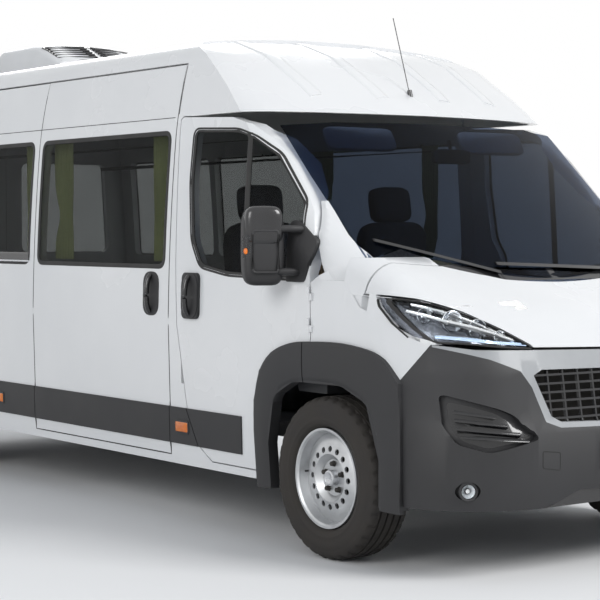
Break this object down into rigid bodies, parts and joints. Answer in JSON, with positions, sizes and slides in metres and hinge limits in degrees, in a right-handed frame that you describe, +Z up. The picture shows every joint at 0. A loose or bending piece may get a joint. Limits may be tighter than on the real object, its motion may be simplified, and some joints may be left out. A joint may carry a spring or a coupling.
{
  "type": "camper van",
  "caption": "Long wheelbase high roof camper van with cab doors, sliding side door, twin rear doors, dark lower trim and roof unit.",
  "frame": {"origin": "on the ground under the middle of the van's bounding box", "axes": "+Z up, +Y towards the rear, so the nose faces -Y; +X towards the van's left side"},
  "size_m": [2.4208, 5.998, 2.6],
  "materials": {
    "body_paint": "gloss white paint",
    "dark_plastic": "grained dark grey plastic",
    "black_plastic": "black",
    "silver_trim": "silver paint",
    "lamp_clear": "clear lens over bright reflectors",
    "screen_glass": "tinted",
    "dark_glass": "privacy tint",
    "tyre": "dusty rubber",
    "wheel_steel": "silver paint",
    "chassis_steel": "black paint",
    "engine_iron": "cast",
    "tank_plastic": "black",
    "floor_paint": "grey paint",
    "cabin_plastic": "dark grey grained",
    "seat_fabric": "dark grey weave",
    "furniture_board": "laminated board",
    "curtain_fabric": "olive curtain cloth",
    "unit_white": "white"
  },
  "bodies": {
    "van": {"antenna": "dark_plastic", "bumper_front": "dark_plastic", "bumper_rear": "dark_plastic", "chassis": "chassis_steel", "curtains": "curtain_fabric", "dashboard": "cabin_plastic", "engine": "engine_iron", "floor": "floor_paint", "front_axle": "chassis_steel", "front_frame": "body_paint", "furniture": "furniture_board", "grille_frame": "silver_trim", "grille_mesh": "black_plastic", "headlamps": "lamp_clear", "mouldings": "dark_plastic", "rear_axle": "chassis_steel", "roof": "body_paint", "roof_cap": "body_paint", "roof_unit": "unit_white", "seats": "seat_fabric", "side_glass": "dark_glass", "side_left": "body_paint", "side_right": "body_paint", "slide_door": "body_paint", "tank": "tank_plastic", "windscreen": "screen_glass", "wing_left": "body_paint", "wing_right": "body_paint", "wipers": "dark_plastic"},
    "bonnet": {"bonnet": "body_paint"},
    "cab_door_left": {"cab_door_left": "body_paint", "cab_glass_left": "screen_glass", "door_trim_left": "dark_plastic", "mirror_left": "dark_plastic"},
    "cab_door_right": {"cab_door_right": "body_paint", "cab_glass_right": "screen_glass", "door_trim_right": "dark_plastic", "mirror_right": "dark_plastic"},
    "rear_door_left": {"rear_door_left": "body_paint", "rear_glass_left": "dark_glass"},
    "rear_door_right": {"rear_door_right": "body_paint", "rear_glass_right": "dark_glass"},
    "knuckle_left": {"knuckle_left": "chassis_steel"},
    "knuckle_right": {"knuckle_right": "chassis_steel"},
    "steering_wheel": {"steering_wheel": "cabin_plastic"},
    "wheel_front_left": {"tyre_front_left": "tyre", "rim_front_left": "wheel_steel"},
    "wheel_front_right": {"tyre_front_right": "tyre", "rim_front_right": "wheel_steel"},
    "wheel_rear_left": {"tyre_rear_left": "tyre", "rim_rear_left": "wheel_steel"},
    "wheel_rear_right": {"tyre_rear_right": "tyre", "rim_rear_right": "wheel_steel"}
  },
  "joints": [
    {"name": "steer_left", "type": "hinge", "parent": "van", "child": "knuckle_left", "pos_m": [0.88, -2.051, 0.36], "axis": [0, 0, 1], "range_deg": [-35, 35]},
    {"name": "spin_front_left", "type": "hinge", "parent": "knuckle_left", "child": "wheel_front_left", "pos_m": [0.905, -2.051, 0.36], "axis": [1, 0, 0], "continuous": true},
    {"name": "spin_rear_left", "type": "hinge", "parent": "van", "child": "wheel_rear_left", "pos_m": [0.895, 1.984, 0.36], "axis": [1, 0, 0], "continuous": true},
    {"name": "cab_door_left", "type": "hinge", "parent": "van", "child": "cab_door_left", "pos_m": [1.0265, -1.959, 1.1], "axis": [0, 0, -1], "range_deg": [0, 70]},
    {"name": "rear_door_left", "type": "hinge", "parent": "van", "child": "rear_door_left", "pos_m": [1.032, 2.894, 1.1], "axis": [0, 0, -1], "range_deg": [0, 180]},
    {"name": "steer_right", "type": "hinge", "parent": "van", "child": "knuckle_right", "pos_m": [-0.88, -2.051, 0.36], "axis": [0, 0, 1], "range_deg": [-35, 35]},
    {"name": "spin_front_right", "type": "hinge", "parent": "knuckle_right", "child": "wheel_front_right", "pos_m": [-0.905, -2.051, 0.36], "axis": [1, 0, 0], "continuous": true},
    {"name": "spin_rear_right", "type": "hinge", "parent": "van", "child": "wheel_rear_right", "pos_m": [-0.895, 1.984, 0.36], "axis": [1, 0, 0], "continuous": true},
    {"name": "cab_door_right", "type": "hinge", "parent": "van", "child": "cab_door_right", "pos_m": [-1.0265, -1.959, 1.1], "axis": [0, 0, 1], "range_deg": [0, 70]},
    {"name": "rear_door_right", "type": "hinge", "parent": "van", "child": "rear_door_right", "pos_m": [-1.032, 2.894, 1.1], "axis": [0, 0, 1], "range_deg": [0, 180]},
    {"name": "bonnet", "type": "hinge", "parent": "van", "child": "bonnet", "pos_m": [0, -2.239, 1.305], "axis": [-1, 0, 0], "range_deg": [0, 45]},
    {"name": "steering_wheel", "type": "hinge", "parent": "van", "child": "steering_wheel", "pos_m": [0.43, -1.559, 1.15], "axis": [0, 0.4695, 0.8829], "range_deg": [-490, 490]}
  ],
  "couplings": [
    {"joint": "steer_right", "follows": "steer_left", "ratio": 1},
    {"joint": "steering_wheel", "follows": "steer_left", "ratio": 14}
  ]
}
